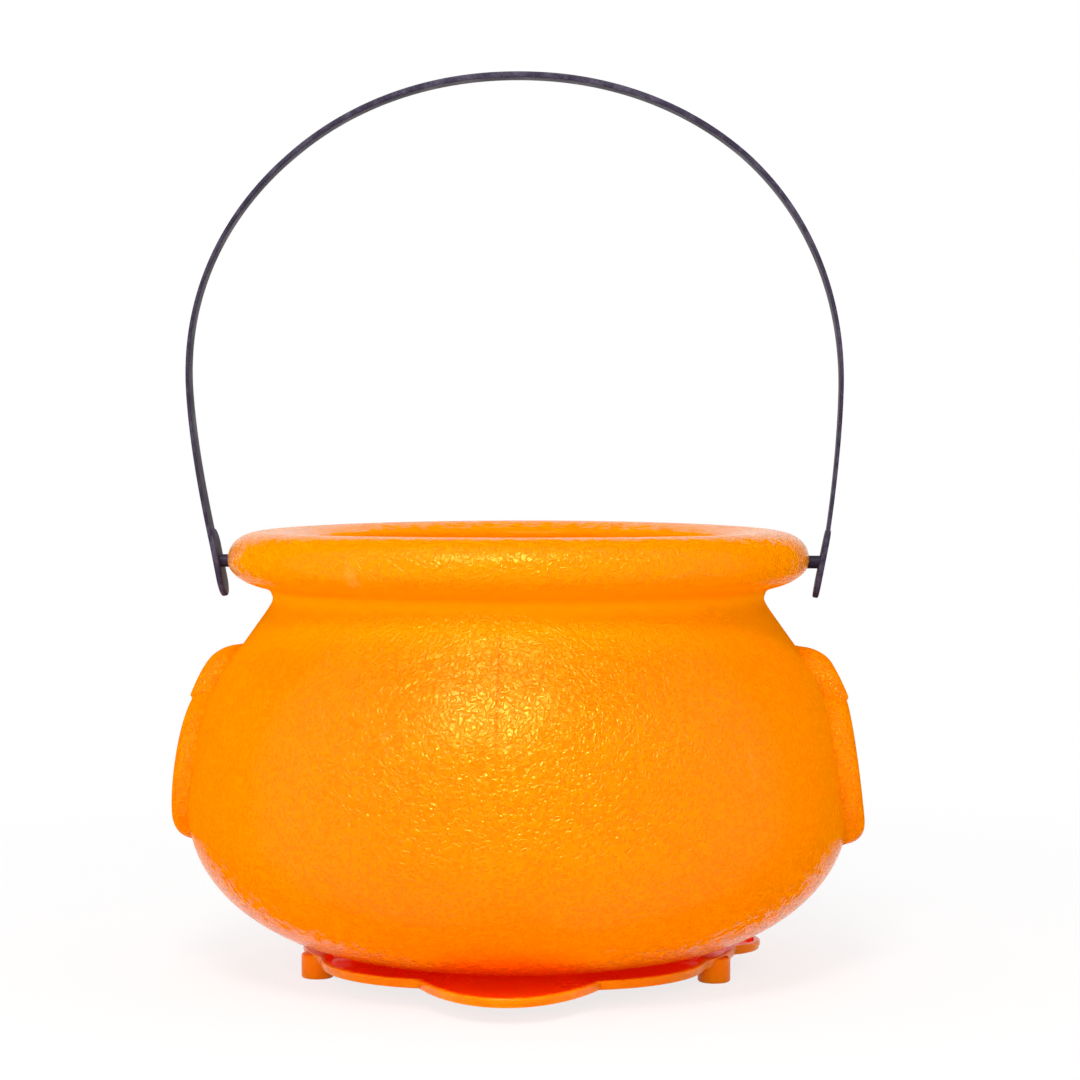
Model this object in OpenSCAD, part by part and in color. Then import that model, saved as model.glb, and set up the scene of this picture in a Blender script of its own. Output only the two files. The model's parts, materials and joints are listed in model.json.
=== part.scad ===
// Cauldron-shaped candy bucket: a blow-moulded pot with a hollow rolled rim, a snap-in strap bail
// and a lobed base dish on peg feet.
// Millimetres. +Z is up, the front is towards -Y, and the floor under the feet is z = 0.

/* [Pot] */
// Radius of the belly at its widest
belly_r = 102; // [94:0.5:112]
// Height of the widest point above the pot's underside
belly_h = 44.3; // [38:0.1:52]
// Radius of the pot's flat underside
foot_r = 39; // [36:0.5:44]
// Height above the underside where the shoulder runs straight into the neck
shoulder_h = 90.2; // [82:0.1:98]
// How far the shoulder has drawn in from the belly at that height
shoulder_in = 12.8; // [9:0.1:17]
// Radius of the neck under the rim
neck_r = 73.2; // [68:0.1:80]
// Wall thickness of the moulding
wall = 1.8; // [1.2:0.1:2.4]
// Radius of the recess in the underside
recess_r = 30; // [24:0.5:35]
// Depth of the recess in the underside
recess_h = 2; // [1:0.1:4]

/* [Rim] */
// Height of the middle of the rim above the pot's underside
rim_h = 121.8; // [116:0.1:130]
// Thickness of the rolled rim, top to bottom
rim_t = 18.4; // [15:0.1:24]
// How far the rim stands out from the neck
rim_out = 16.6; // [13:0.1:21]
// How far the crown of the rim sits inside the neck
crown_in = 2.4; // [1.5:0.1:6]
// Width of the lip from the crown to the trimmed mouth
lip_w = 6.3; // [4:0.1:9]
// How far the lip falls from the crown to the mouth
lip_drop = 1.6; // [0.5:0.1:2.5]
// Depth of the edge that is turned down round the mouth
skirt_h = 7; // [5:0.1:9]

/* [Side handle relief] */
// Height of the ring's centre above the pot's underside
ring_h = 58.6; // [50:0.1:62]
// Outer radius of the ring at the wall
ring_r = 24.5; // [19:0.5:26]
// Width of the ring's band at the wall
ring_w = 10; // [7.5:0.1:12]
// How far the ring stands out from the wall
ring_out = 5.3; // [4:0.1:7]
// Width of the lug that the ring hangs from
lug_w = 20; // [15:0.5:26]
// Height of the lug above the top of the ring
lug_h = 12; // [10:0.1:17]
// How far the lug stands out from the wall
lug_out = 6.2; // [5:0.1:9]
// Draft of the relief's edges, in degrees
draft = 12; // [4:1:16]

/* [Bail] */
// Height of the studs' axis below the middle of the rim
pivot_drop = 0.7; // [0:0.1:1.5]
// Gap between the rim and the end pads
pad_gap = 3.1; // [2.6:0.1:6]
// How far the strap bows out past its pivot
bow_out = 6.8; // [4:0.1:9]
// Height of the widest point of the bail above the pivot
bow_h = 56.3; // [48:0.1:66]
// Height of the top of the bail above the pivot
bail_h = 150.7; // [130:0.1:175]
// Thickness of the strap at its sides
strap_t = 1.1; // [1:0.1:1.7]
// Thickness of the strap at its top
crown_t = 1.8; // [1.4:0.1:2.4]
// Width of the strap
strap_w = 10; // [7:0.1:14]
// Length of the round-ended pad at each end
pad_l = 20; // [16:0.1:23]
// Width of the pads
pad_w = 11.5; // [9:0.1:15]
// Thickness of the pads
pad_t = 1.8; // [1.5:0.1:3]
// Radius of the studs
stud_r = 2; // [1.5:0.1:2.5]
// Clearance round each stud in its hole
stud_play = 0.1; // [0.05:0.05:0.3]
// How far the barb on a stud stands out past the stud
barb_out = 0.8; // [0.4:0.1:1.1]
// Length of the barb
barb_l = 4; // [3:0.1:6]

/* [Base dish] */
// How far the dish's round middle reaches out past the pot's flat underside
middle_out = 29; // [27:0.5:33]
// How far that round lies behind the pot's axis
middle_back = 8; // [5:0.5:10]
// How far the front lip reaches out past the pot's flat underside
front_out = 53.5; // [47:0.5:58]
// Width that the tapered front lip would reach at the pot's axis
front_w = 73; // [66:0.5:80]
// How far the lobe on each side of the front lip reaches out past the pot's flat underside
side_out = 31; // [29:0.5:34]
// Width of the side lobes' round
side_w = 82; // [76:0.5:88]
// Bearing of the side lobes from the front, in degrees
side_angle = 38; // [35:0.5:42]
// How far the ear behind each side foot reaches out past the pot's flat underside
ear_out = 38; // [36:0.5:43]
// Width of the ears' round
ear_w = 33; // [28:0.5:37]
// Bearing of the ears from the front, in degrees
ear_angle = 105.5; // [100:0.5:112]
// Thickness of the dish's floor
floor_t = 1.2; // [0.8:0.1:2]
// Height of the dish's wall above its floor
dish_h = 1.6; // [1.2:0.1:1.9]
// Thickness of the dish's wall
dish_wall = 1.6; // [1.2:0.1:2.2]
// How far the lip of the dish stands out past the wall under it
dish_lip = 0.4; // [0.2:0.1:0.8]
// Height of the lip's band
lip_band = 1.6; // [1:0.1:2]
// Radius of the peg feet
peg_r = 5; // [4:0.1:6]
// Height from the floor to the underside of the dish
peg_h = 5.2; // [4:0.1:12]
// How far the middle of a peg lies outside the pot's flat underside
peg_out = 24; // [22:0.1:25]
// Bearing of the front pegs from the front, in degrees
peg_angle = 75; // [70:0.5:80]
// Least clearance between the dish and the pot's underside, away from its seat
dish_play = 0.4; // [0.2:0.05:0.6]
// Play between the dish's locating ring and the recess in the pot
seat_play = 0.2; // [0.1:0.05:0.5]

/* [Hidden] */
$fn = 96;
orange = [1.0, 0.52, 0.02];
charcoal = [0.16, 0.15, 0.19];
// Segments in each curve of the pot's section, along each half of the strap's two curves
// and round the front lip
curve_steps = 12;
strap_steps = 14;
front_steps = 40;
// Length by which a solid passes the surface that it cuts or joins
over = 1;
// Depth at which the relief's columns start inside the belly
relief_root = 14;
// Fullness of the strap's lower curve and of its arch
bow_power = 1.6;
arch_power = 2.07;

pot_z = peg_h + floor_t;
belly_z = pot_z + belly_h;
shoulder_z = pot_z + shoulder_h;
shoulder_r = belly_r - shoulder_in;
crown_r = neck_r - crown_in;
rim_r = neck_r + rim_out;
mouth_r = crown_r - lip_w;
rim_z = pot_z + rim_h;
rim_top = rim_z + rim_t / 2;
ring_z = pot_z + ring_h;
ring_top = ring_z + ring_r;

pivot_z = rim_z - pivot_drop;
strap_x = rim_r + pad_gap + pad_t;
bow_x = strap_x + bow_out;
pad_tilt = atan(bow_power * bow_out / bow_h);
// Depth of the hollow in the rim at the lowest edge of a barb
hollow_half_t = rim_t / 2 - wall;
barb_drop = pivot_drop + stud_r + barb_out;
hollow_x = crown_r + (rim_r - crown_r - wall) * sqrt(1 - pow(barb_drop / hollow_half_t, 2));
barb_x = hollow_x - stud_play;

// Bearing, distance from the pot's axis and radius of each round of the dish's outline behind its front lip
dish_rounds = [
  [180, middle_back, foot_r + middle_out],
  [side_angle, foot_r + side_out - side_w / 2, side_w / 2],
  [-side_angle, foot_r + side_out - side_w / 2, side_w / 2],
  [ear_angle, foot_r + ear_out - ear_w / 2, ear_w / 2],
  [-ear_angle, foot_r + ear_out - ear_w / 2, ear_w / 2]
];
peg_reach = foot_r + peg_out;
peg_angles = [-peg_angle, peg_angle, 180];

// Points along part of an ellipse, from one angle to another
function ellipse_arc(centre, half_w, half_h, from, to) = [
  for (i = [0:curve_steps])
    let (angle = from + (to - from) * i / curve_steps)
    [centre[0] + half_w * cos(angle), centre[1] + half_h * sin(angle)]
];

// Points after the first on a curve that leaves the first point towards the middle one
// and comes to the last point from it
function bend(first, middle, last) = [
  for (i = [1:curve_steps])
    let (t = i / curve_steps)
    first * pow(1 - t, 2) + middle * 2 * t * (1 - t) + last * t * t
];

// Angle on the rim's rolled section at which its underside meets a radius
function rim_angle(radius, inset) = -acos((radius - crown_r) / (rim_r - crown_r - inset));

// Height of the pot's underside at a radius outside its flat foot
function underside(radius) =
  belly_z - belly_h * sqrt(1 - pow((radius - foot_r) / (belly_r - foot_r), 2));

// Distance from the pot's axis to the far side of one round of the dish, drawn in by inset
function round_reach(round, bearing, inset) =
  let (
    off = bearing - round[0],
    chord = pow(round[2] - inset, 2) - pow(round[1] * sin(off), 2)
  )
  chord > 0 ? round[1] * cos(off) + sqrt(chord) : 0;

// Half an ellipse round the pot's axis for the front lip, drawn in by inset
function front_lip(inset) = [
  for (i = [0:front_steps])
    let (angle = 180 + 180 * i / front_steps)
    [(front_w / 2 - inset) * cos(angle), (foot_r + front_out - inset) * sin(angle)]
];

// Least distance from the pot's axis to the dish's outline behind the front lip, drawn in by inset
function dish_near(inset) = min([
  for (bearing = [20:180])
    max([for (round = dish_rounds) round_reach(round, bearing, inset)])
]);

// Half section of the pot's surface moved into the wall by inset, from the axis to the trimmed mouth
function pot_section(inset) =
  let (
    neck_top = rim_z + rim_t / 2 * sin(rim_angle(neck_r, 0)),
    cone = (shoulder_r - neck_r) / (neck_top - shoulder_z),
    cone_inset = inset * sqrt(1 + cone * cone),
    bevel_inset = inset * tan(22.5),
    widest = [belly_r - inset, belly_z],
    shoulder = [shoulder_r - cone_inset, shoulder_z],
    turn = [widest[0], shoulder_z - (widest[0] - shoulder[0]) / cone]
  )
  concat(
    [
      [0, pot_z + recess_h + inset],
      [recess_r + bevel_inset, pot_z + recess_h + inset],
      [recess_r + recess_h + bevel_inset, pot_z + inset]
    ],
    ellipse_arc([foot_r, belly_z], belly_r - foot_r - inset, belly_h - inset, -90, 0),
    bend(widest, turn, shoulder),
    ellipse_arc([crown_r, rim_z], rim_r - crown_r - inset, rim_t / 2 - inset,
                rim_angle(neck_r - cone_inset, inset), 90),
    [[mouth_r, rim_top - lip_drop - inset]]
  );

// The pot as a full body, with its surface moved into the wall by inset
module pot_fill(inset) {
  rotate_extrude()
    polygon(concat(pot_section(inset), [[0, rim_top - lip_drop - inset]]));
}

// Drafted ring along X that is ring_r outside at the belly's surface, narrowed on every edge by inset
module ring_column(inset) {
  lean = tan(draft);
  root = belly_r - relief_root;
  length = relief_root + ring_out + over;
  outer = ring_r - inset;
  inner = ring_r - ring_w + inset;
  translate([root, 0, ring_z])
    rotate([0, 90, 0])
      difference() {
        cylinder(r1 = outer + lean * relief_root, r2 = outer - lean * (ring_out + over), h = length);
        cylinder(r1 = inner - lean * relief_root, r2 = inner + lean * (ring_out + over), h = length);
      }
}

// Round-topped block along X, from the middle of the ring's band up, narrowed on every edge by inset
module lug_column(inset) {
  round_r = lug_w / 2 - inset;
  crown_z = ring_top + lug_h - lug_w / 2;
  foot_z = ring_top - ring_w / 2 + inset;
  root = belly_r - relief_root - shoulder_in;
  translate([root, 0, 0])
    rotate([90, 0, 90])
      linear_extrude(height = relief_root + shoulder_in + lug_out)
        union() {
          translate([0, crown_z])
            circle(r = round_r);
          translate([-round_r, foot_z])
            square([2 * round_r, crown_z - foot_z]);
        }
}

// Ring and lug of one side, with their faces following the wall at their own heights
module side_relief(inset) {
  intersection() {
    pot_fill(inset - ring_out);
    ring_column(inset);
  }
  intersection() {
    pot_fill(inset - lug_out);
    lug_column(inset);
  }
}

// The two sides of something made on the +X side
module both_sides() {
  children();
  mirror([1, 0, 0])
    children();
}

// Space inside the shell, which stops short of the edge turned down round the mouth
module pot_hollow() {
  difference() {
    union() {
      pot_fill(wall);
      both_sides()
        side_relief(wall);
    }
    translate([0, 0, rim_top - skirt_h])
      cylinder(r = mouth_r + wall, h = skirt_h + over);
  }
}

// Blow-moulded shell: belly, cone shoulder, hollow rim and the hollow relief on both sides
module pot() {
  color(orange)
    difference() {
      union() {
        pot_fill(0);
        both_sides()
          side_relief(0);
      }
      pot_hollow();
      translate([0, 0, rim_top - skirt_h - over])
        cylinder(r = mouth_r, h = skirt_h + 2 * over);
      both_sides()
        translate([crown_r, 0, pivot_z])
          rotate([0, 90, 0])
            cylinder(r = stud_r + stud_play, h = rim_r - crown_r + over);
    }
}

// Points up one side of the strap's outline and over to the top, moved in at the sides and at the top
function strap_side(side_in, top_in) = concat(
  [
    for (i = [0:strap_steps - 1])
      let (h = bow_h * i / strap_steps)
      [bow_x - side_in - bow_out * pow(1 - h / bow_h, bow_power), h]
  ],
  [
    for (i = [0:strap_steps])
      let (angle = 90 * i / strap_steps, across = bow_x - side_in, up = bail_h - bow_h - top_in)
      [across * pow(cos(angle), 2 / arch_power), bow_h + up * pow(sin(angle), 2 / arch_power)]
  ]
);

// The same points in turn from the top down the other side, without the top one
function other_side(points) = [
  for (i = [len(points) - 2:-1:0])
    [-points[i][0], points[i][1]]
];

// The bent strap, from pivot to pivot
module strap() {
  outer = strap_side(0, 0);
  inner = strap_side(strap_t, crown_t);
  outer_path = concat(outer, other_side(outer));
  inner_path = concat(inner, other_side(inner));
  translate([0, strap_w / 2, pivot_z])
    rotate([90, 0, 0])
      linear_extrude(height = strap_w)
        polygon(concat(outer_path, [for (i = [len(inner_path) - 1:-1:0]) inner_path[i]]));
}

// Round-ended plate with its length along X
module round_ended_plate(length, width, thickness) {
  reach = (length - width) / 2;
  linear_extrude(height = thickness)
    union() {
      square([2 * reach, width], center = true);
      for (side = [-1, 1])
        translate([side * reach, 0])
          circle(r = width / 2);
    }
}

// End pad, in line with the strap, and the barbed stud on its inner face
module strap_end() {
  stud_start = strap_x - pad_t / 2;
  translate([strap_x, 0, pivot_z])
    rotate([0, pad_tilt - 90, 0])
      round_ended_plate(pad_l, pad_w, pad_t);
  translate([stud_start, 0, pivot_z])
    rotate([0, -90, 0])
      cylinder(r = stud_r, h = stud_start - barb_x + over);
  translate([barb_x, 0, pivot_z])
    rotate([0, -90, 0])
      cylinder(r1 = stud_r + barb_out, r2 = stud_r - barb_out, h = barb_l);
}

// Strap handle with its pads and studs, in one moulding
module bail() {
  color(charcoal)
    union() {
      strap();
      both_sides()
        strap_end();
    }
}

// Outline of the dish, drawn in by inset
module dish_outline(inset) {
  polygon(front_lip(inset));
  for (round = dish_rounds)
    rotate(round[0])
      translate([0, -round[1]])
        circle(r = round[2] - inset);
}

// Shallow dish with a lip, peg feet and a ring that locates the pot
module base_dish() {
  wall_near = dish_near(dish_lip + dish_wall);
  dish_top = min(pot_z + dish_h, underside(wall_near) - dish_play);
  peg_top = min(dish_top - dish_play, underside(peg_reach - peg_r) - dish_play);
  locator_r = recess_r - seat_play;
  color(orange)
    union() {
      difference() {
        union() {
          translate([0, 0, peg_h])
            linear_extrude(height = dish_top - peg_h)
              dish_outline(dish_lip);
          translate([0, 0, dish_top - lip_band])
            linear_extrude(height = lip_band)
              dish_outline(0);
        }
        translate([0, 0, pot_z])
          linear_extrude(height = dish_h + over)
            dish_outline(dish_lip + dish_wall);
      }
      for (angle = peg_angles)
        rotate(angle)
          translate([0, -peg_reach, 0])
            cylinder(r = peg_r, h = peg_top);
      translate([0, 0, pot_z - floor_t / 2])
        difference() {
          cylinder(r = locator_r, h = floor_t / 2 + recess_h - seat_play);
          translate([0, 0, floor_t / 2])
            cylinder(r = locator_r - dish_wall, h = recess_h + over);
        }
    }
}

pot();
bail();
base_dish();
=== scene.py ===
"""Dressed model of a cauldron candy bucket: a moulded pot, a strap bail and a lobed base dish.

Sizes are millimetres in the pieces' own fields, and metres once they become meshes. +Z is up, the
front is towards -Y and the floor under the feet is z = 0.
"""

import json
import logging
import math
from collections.abc import Callable
from dataclasses import dataclass, field
from enum import Enum

import bpy
import numpy as np
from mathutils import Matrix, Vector


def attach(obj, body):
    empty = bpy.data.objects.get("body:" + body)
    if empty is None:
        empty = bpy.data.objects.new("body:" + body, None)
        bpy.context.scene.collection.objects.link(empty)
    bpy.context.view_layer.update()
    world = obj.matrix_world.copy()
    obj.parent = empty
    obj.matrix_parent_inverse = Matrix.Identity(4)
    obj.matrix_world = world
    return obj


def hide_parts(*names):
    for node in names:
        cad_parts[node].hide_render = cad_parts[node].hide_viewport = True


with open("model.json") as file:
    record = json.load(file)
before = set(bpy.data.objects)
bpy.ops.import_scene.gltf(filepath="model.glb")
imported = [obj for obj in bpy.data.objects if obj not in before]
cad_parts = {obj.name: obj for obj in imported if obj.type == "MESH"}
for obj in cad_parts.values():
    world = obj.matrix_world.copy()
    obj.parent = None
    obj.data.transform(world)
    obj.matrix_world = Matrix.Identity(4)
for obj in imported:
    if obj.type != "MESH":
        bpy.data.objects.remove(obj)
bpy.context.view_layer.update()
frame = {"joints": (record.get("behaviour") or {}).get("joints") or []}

MM = 0.001
log = logging.getLogger("candy_bucket")

Colour = tuple[float, float, float]
Rgba = tuple[float, float, float, float]
Point = tuple[float, float, float]
Span = tuple[float, float]

# Parts of a noise's range in which most and nearly all of it lies
MOST: Span = (0.3, 0.7)
NEARLY_ALL: Span = (0.25, 0.75)


class Body(Enum):
    """Bodies of the frame that the pieces ride on."""

    POT = "pot_body"
    BAIL = "bail_body"


class Slot(Enum):
    """Material slots of the record."""

    POT = "pot_plastic"
    BAIL = "bail_plastic"
    DISH = "dish_plastic"


class Join(Enum):
    """Ways in which one solid acts on another."""

    ADD = "UNION"
    CUT = "DIFFERENCE"


# Shapes


@dataclass
class Shape:
    """A mesh in the making, in millimetres.

    Attributes:
        points: Corner positions, one row each.
        faces: Corner numbers of each face.
    """

    points: np.ndarray
    faces: list[list[int]]

    def to_object(self, name: str) -> bpy.types.Object:
        """Make a smooth-shaded Blender object from the shape.

        Args:
            name: Name of the object and its mesh.

        Returns:
            The new object, linked to the scene.
        """
        mesh = bpy.data.meshes.new(name)
        mesh.from_pydata((self.points * MM).tolist(), [], self.faces)
        mesh.validate()
        mesh.shade_smooth()
        piece = bpy.data.objects.new(name, mesh)
        bpy.context.collection.objects.link(piece)
        return piece


def ring_grid(rows: np.ndarray) -> Shape:
    """Join rows of points that each run once round an axis into one closed skin.

    Args:
        rows: Array of rows by columns by 3. The first and last rows each shrink to one point.

    Returns:
        The closed skin, with a fan of triangles at both ends.
    """
    count, columns = rows.shape[0], rows.shape[1]
    points = np.concatenate([rows[:1, 0], rows[1:-1].reshape(-1, 3), rows[-1:, 0]])
    last = len(points) - 1
    faces: list[list[int]] = []
    for j in range(columns):
        k = (j + 1) % columns
        faces.append([0, 1 + k, 1 + j])
        faces.append([last, last - columns + j, last - columns + k])
    for i in range(count - 3):
        base = 1 + i * columns
        for j in range(columns):
            k = (j + 1) % columns
            faces.append([base + j, base + k, base + columns + k, base + columns + j])
    return Shape(points, faces)


def lathe(profile: list[tuple[float, float]], origin: Point, axis: Point, segments: int = 64,
          side: Point | None = None, stretch: float = 0.0) -> Shape:
    """Turn a profile round an axis, drawn out into a round-ended plate where it is stretched.

    Args:
        profile: Radius and distance along the axis, from one end on the axis to the other.
        origin: Point where the distance is zero.
        axis: Direction of the axis.
        segments: Number of points round the axis.
        side: Direction across the axis in which the shape is drawn out.
        stretch: How far each half is moved that way.

    Returns:
        The closed turned shape.
    """
    along = Vector(axis).normalized()
    across = Vector(side).normalized() if side else along.orthogonal().normalized()
    other = along.cross(across)
    turn = np.linspace(0, 2 * math.pi, segments, endpoint=False)
    circle = np.outer(np.cos(turn), across) + np.outer(np.sin(turn), other)
    shift = np.outer(np.sign(np.round(np.cos(turn), 6)), across) * stretch
    widest = max(radius for radius, _ in profile)
    rows = []
    for radius, distance in profile:
        centre = np.array(along) * distance + np.array(origin)
        rows.append(circle * radius + shift * min(1, 2 * radius / widest) + centre)
    return ring_grid(np.array(rows))


def rounded_drum(radius: float, length: float, edge: float, steps: int = 6) -> list[tuple[float, float]]:
    """Profile of a drum with rounded edges at both ends.

    Args:
        radius: Radius of the drum.
        length: Length along its axis.
        edge: Radius of the rounded edges.
        steps: Points on each rounded edge.

    Returns:
        Radius and distance of each point, from one end of the axis to the other.
    """
    turn = [i / steps * math.pi / 2 for i in range(steps + 1)]
    near = [(radius - edge + edge * math.sin(a), edge - edge * math.cos(a)) for a in turn]
    far = [(r, length - d) for r, d in reversed(near)]
    return [(0, 0), (radius / 2, 0), *near, *far, (radius / 2, length), (0, length)]


def graded(start: float, stop: float, spacing: Callable[[float], float]) -> np.ndarray:
    """Places from start to stop whose steps follow a spacing.

    Args:
        start: First place.
        stop: Last place.
        spacing: Function that gives the wanted step at a place.

    Returns:
        The places, with both ends.
    """
    places = [start]
    while places[-1] < stop:
        places.append(places[-1] + spacing(places[-1]))
    steps = np.array(places)
    return start + (steps - start) * (stop - start) / (steps[-1] - start)


def combine(piece: bpy.types.Object, tools: list[bpy.types.Object], join: Join) -> None:
    """Add solids to a piece or cut them from it, and take the solids away.

    Args:
        piece: Object that is changed.
        tools: Objects that act on it.
        join: Whether they are added or cut.
    """
    for tool in tools:
        step = piece.modifiers.new(join.value, "BOOLEAN")
        step.operation = join.value
        step.solver = "EXACT"
        step.object = tool
    bpy.context.view_layer.update()
    old = piece.data
    solid = piece.evaluated_get(bpy.context.evaluated_depsgraph_get())
    piece.modifiers.clear()
    piece.data = bpy.data.meshes.new_from_object(solid)
    piece.data.name = old.name
    bpy.data.meshes.remove(old)
    for tool in tools:
        bpy.data.meshes.remove(tool.data)


def mark(piece: bpy.types.Object, name: str, values: np.ndarray) -> None:
    """Store one number for each corner of a piece, for its finish to read.

    Args:
        piece: Object that carries the numbers.
        name: Name of the attribute.
        values: One number for each corner.
    """
    layer = piece.data.attributes.new(name, "FLOAT", "POINT")
    layer.data.foreach_set("value", values.astype(np.float32))


def corners(piece: bpy.types.Object) -> np.ndarray:
    """Read where the corners of a piece are.

    Args:
        piece: Object to read.

    Returns:
        Positions in millimetres, one row each.
    """
    flat = np.zeros(len(piece.data.vertices) * 3, np.float32)
    piece.data.vertices.foreach_get("co", flat)
    return flat.reshape(-1, 3) / MM


def ramp(values: np.ndarray, low: float, high: float) -> np.ndarray:
    """Smooth rise from 0 at low to 1 at high."""
    t = np.clip((values - low) / (high - low), 0, 1)
    return t * t * (3 - 2 * t)


def eased(line: np.ndarray, spread: float) -> np.ndarray:
    """Round off the corners of an evenly stepped line.

    Args:
        line: Points of the line, one row each.
        spread: Steps over which each point is averaged.

    Returns:
        The rounded line.
    """
    reach = int(4 * spread)
    weight = np.exp(-0.5 * (np.arange(-reach, reach + 1) / spread) ** 2)
    padded = np.pad(line, ((reach, reach), (0, 0)), "edge")
    return np.stack([np.convolve(column, weight / weight.sum(), "valid") for column in padded.T], axis=1)


# Finishes


class ShaderGraph:
    """Adds nodes to one new material and links them."""

    def __init__(self, name: str) -> None:
        """Start a material that has only a Principled surface.

        Args:
            name: Name of the material.
        """
        self.material = bpy.data.materials.new(name)
        self.material.use_nodes = True
        self.nodes = self.material.node_tree.nodes
        self.surface = self.nodes["Principled BSDF"]
        self.place = self.add("ShaderNodeTexCoord").outputs["Object"]

    def add(self, kind: str, **settings: object) -> bpy.types.Node:
        """Add a node.

        Args:
            kind: Node type.
            settings: Values of the node's own properties.

        Returns:
            The new node.
        """
        node = self.nodes.new(kind)
        for name, value in settings.items():
            setattr(node, name, value)
        return node

    def feed(self, socket: bpy.types.NodeSocket, value: object) -> None:
        """Link a socket to another node's output, or set its number.

        Args:
            socket: Input to feed.
            value: An output socket or a plain value.
        """
        if isinstance(value, bpy.types.NodeSocket):
            self.material.node_tree.links.new(value, socket)
        else:
            socket.default_value = value

    def noise(self, scale: float, detail: float = 2.0, rough: float = 0.5, stretch: Point = (1, 1, 1),
              warp: float = 0.0) -> bpy.types.NodeSocket:
        """Add a noise pattern over the piece.

        Args:
            scale: Waves in a metre.
            detail: Number of finer layers.
            rough: Strength of the finer layers.
            stretch: Scale of the pattern on each axis.
            warp: Distortion of the pattern.

        Returns:
            The pattern's output, about 0.5 in the middle.
        """
        mapping = self.add("ShaderNodeMapping")
        self.feed(mapping.inputs["Vector"], self.place)
        self.feed(mapping.inputs["Scale"], stretch)
        node = self.add("ShaderNodeTexNoise")
        self.feed(node.inputs["Vector"], mapping.outputs["Vector"])
        for name, value in {"Scale": scale, "Detail": detail, "Roughness": rough, "Distortion": warp}.items():
            self.feed(node.inputs[name], value)
        return node.outputs["Fac"]

    def attribute(self, name: str) -> bpy.types.NodeSocket:
        """Read a number stored on the piece's corners."""
        return self.add("ShaderNodeAttribute", attribute_name=name).outputs["Fac"]

    def maths(self, operation: str, first: object, second: object = 0.0) -> bpy.types.NodeSocket:
        """Add a sum of two numbers.

        Args:
            operation: Blender's name for the operation.
            first: First number or output.
            second: Second number or output.

        Returns:
            The result's output.
        """
        node = self.add("ShaderNodeMath", operation=operation)
        self.feed(node.inputs[0], first)
        self.feed(node.inputs[1], second)
        return node.outputs["Value"]

    def span(self, value: object, from_low: float, from_high: float, low: float = 0.0,
             high: float = 1.0) -> bpy.types.NodeSocket:
        """Map a range of numbers onto another, and hold it at the ends.

        Args:
            value: Output to map.
            from_low: Value that becomes low.
            from_high: Value that becomes high.
            low: Result at the first end.
            high: Result at the second end.

        Returns:
            The mapped output.
        """
        node = self.add("ShaderNodeMapRange", interpolation_type="SMOOTHSTEP")
        numbers = [value, from_low, from_high, low, high]
        for name, number in zip(["Value", "From Min", "From Max", "To Min", "To Max"], numbers):
            self.feed(node.inputs[name], number)
        return node.outputs["Result"]

    def tint(self, share: object, first: object, second: object) -> bpy.types.NodeSocket:
        """Mix two colours.

        Args:
            share: How much of the second colour shows.
            first: Colour or output at share 0.
            second: Colour or output at share 1.

        Returns:
            The mixed colour's output.
        """
        node = self.add("ShaderNodeMix", data_type="RGBA")
        self.feed(node.inputs["Factor"], share)
        for socket, value in ((node.inputs[6], first), (node.inputs[7], second)):
            self.feed(socket, (*value, 1.0) if isinstance(value, tuple) else value)
        return node.outputs[2]

    def bump(self, height: object, distance: float, below: object = None) -> bpy.types.NodeSocket:
        """Add small relief to the surface.

        Args:
            height: Height pattern from 0 to 1.
            distance: Depth of the relief in metres.
            below: Normal output of coarser relief under this one.

        Returns:
            The normal's output.
        """
        node = self.add("ShaderNodeBump")
        self.feed(node.inputs["Height"], height)
        self.feed(node.inputs["Distance"], distance)
        if below is not None:
            self.feed(node.inputs["Normal"], below)
        return node.outputs["Normal"]

    def settle(self, **values: object) -> bpy.types.Material:
        """Feed the Principled surface.

        Args:
            values: Socket names with _ for spaces, and what feeds each.

        Returns:
            The finished material.
        """
        for name, value in values.items():
            self.feed(self.surface.inputs[name.replace("_", " ")], value)
        return self.material


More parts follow.
